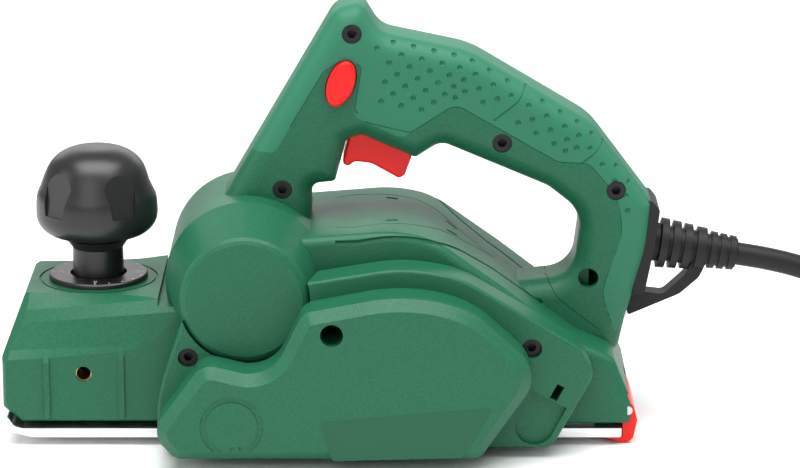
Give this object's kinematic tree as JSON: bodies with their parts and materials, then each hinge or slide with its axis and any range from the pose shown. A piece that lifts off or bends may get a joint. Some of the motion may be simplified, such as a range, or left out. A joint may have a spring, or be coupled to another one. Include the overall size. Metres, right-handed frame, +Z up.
{
  "type": "electric hand planer",
  "caption": "Hand-held electric planer with a loop handle, belt cover, front depth knob, sprung trigger, lock button, parking rest and mains cord.",
  "frame": {"origin": "centre of the footprint of the planer without its cord, on the surface that it is parked on", "axes": "+X to the rear, where the cord leaves, -Y to the belt cover's side, +Z up"},
  "size_m": [0.508, 0.2255, 0.1869],
  "materials": {
    "green_shell": "fine moulded texture",
    "green_skin": "soft over-moulded grip with dimples",
    "green_panel": "smooth inlaid panel",
    "black_plastic": "satin black",
    "black_rubber": "matt rubber",
    "red_plastic": "satin red",
    "sole_aluminium": "milled and brushed",
    "cast_aluminium": "as cast",
    "steel": "ground",
    "dark_steel": "blackened",
    "brass": "turned",
    "copper": "enamelled winding",
    "carbon": "pressed carbon",
    "grey_plastic": "moulded",
    "belt_rubber": "ribbed"
  },
  "bodies": {
    "housing": {"housing_left": "green_shell", "housing_right": "green_shell", "front_block": "green_shell", "chip_duct": "green_shell", "belt_cover": "green_shell", "grip_skin": "green_skin", "cover_label": "green_panel", "scale_ring": "black_plastic", "base_frame": "sole_aluminium", "bearing_plate": "cast_aluminium", "bearing_cap": "cast_aluminium", "guide_inserts": "brass", "cover_screws": "dark_steel", "housing_screws": "dark_steel", "drum_bearings": "steel", "motor_bearings": "steel", "drive_belt": "belt_rubber", "motor_stator": "dark_steel", "stator_coils": "copper", "brush_holders": "brass", "carbon_brushes": "carbon", "switch_module": "grey_plastic", "capacitor": "grey_plastic", "cord_clamp": "grey_plastic", "internal_leads": "black_rubber", "rest_pin": "steel", "bend_protector": "black_rubber", "cable_strap": "black_rubber", "mains_cord": "black_rubber", "cord_coil": "black_rubber", "cord_tail": "black_rubber", "plug_body": "black_rubber", "plug_pins": "steel"},
    "front_shoe": {"front_shoe": "sole_aluminium"},
    "depth_knob": {"knob_cap": "black_plastic", "knob_stem": "black_plastic", "knob_spindle": "steel"},
    "cutter": {"cutter_drum": "cast_aluminium", "drum_blades": "steel", "blade_clamps": "dark_steel", "blade_screws": "steel", "drum_shaft": "steel", "drum_pulley": "black_plastic"},
    "armature": {"armature_shaft": "steel", "armature_core": "dark_steel", "commutator": "copper", "fan": "grey_plastic", "motor_pulley": "steel"},
    "trigger": {"trigger": "red_plastic"},
    "lock_button": {"lock_button": "red_plastic"},
    "parking_rest": {"parking_rest": "red_plastic"}
  },
  "joints": [
    {"name": "knob_turn", "type": "hinge", "parent": "housing", "child": "depth_knob", "pos_m": [-0.1195, 0, 0.0637], "axis": [0, 0, 1], "range_deg": [0, 270]},
    {"name": "shoe_lift", "type": "slide", "parent": "housing", "child": "front_shoe", "axis": [0, 0, 1], "range_m": [0, 0.0015]},
    {"name": "drum_spin", "type": "hinge", "parent": "housing", "child": "cutter", "pos_m": [-0.0585, 0, 0.0267], "axis": [0, 1, 0], "continuous": true},
    {"name": "armature_spin", "type": "hinge", "parent": "housing", "child": "armature", "pos_m": [0.0175, 0, 0.0417], "axis": [0, 1, 0], "continuous": true},
    {"name": "trigger_pull", "type": "hinge", "parent": "housing", "child": "trigger", "pos_m": [-0.0105, 0, 0.1257], "axis": [0, -1, 0], "range_deg": [0, 9], "stiffness_Nm_per_rad": 0.5, "springref_deg": -14.32},
    {"name": "lock_push", "type": "slide", "parent": "housing", "child": "lock_button", "axis": [0, 1, 0], "range_m": [0, 0.003], "stiffness_N_per_m": 300, "springref_m": -0.004},
    {"name": "rest_fold", "type": "hinge", "parent": "housing", "child": "parking_rest", "pos_m": [0.1097, 0, 0.0152], "axis": [0, -1, 0], "range_deg": [0, 70], "stiffness_Nm_per_rad": 0.02, "springref_deg": -34.38}
  ],
  "couplings": [
    {"joint": "shoe_lift", "follows": "knob_turn", "m_per_rad": 0.000318},
    {"joint": "armature_spin", "follows": "drum_spin", "ratio": 1.4615}
  ]
}
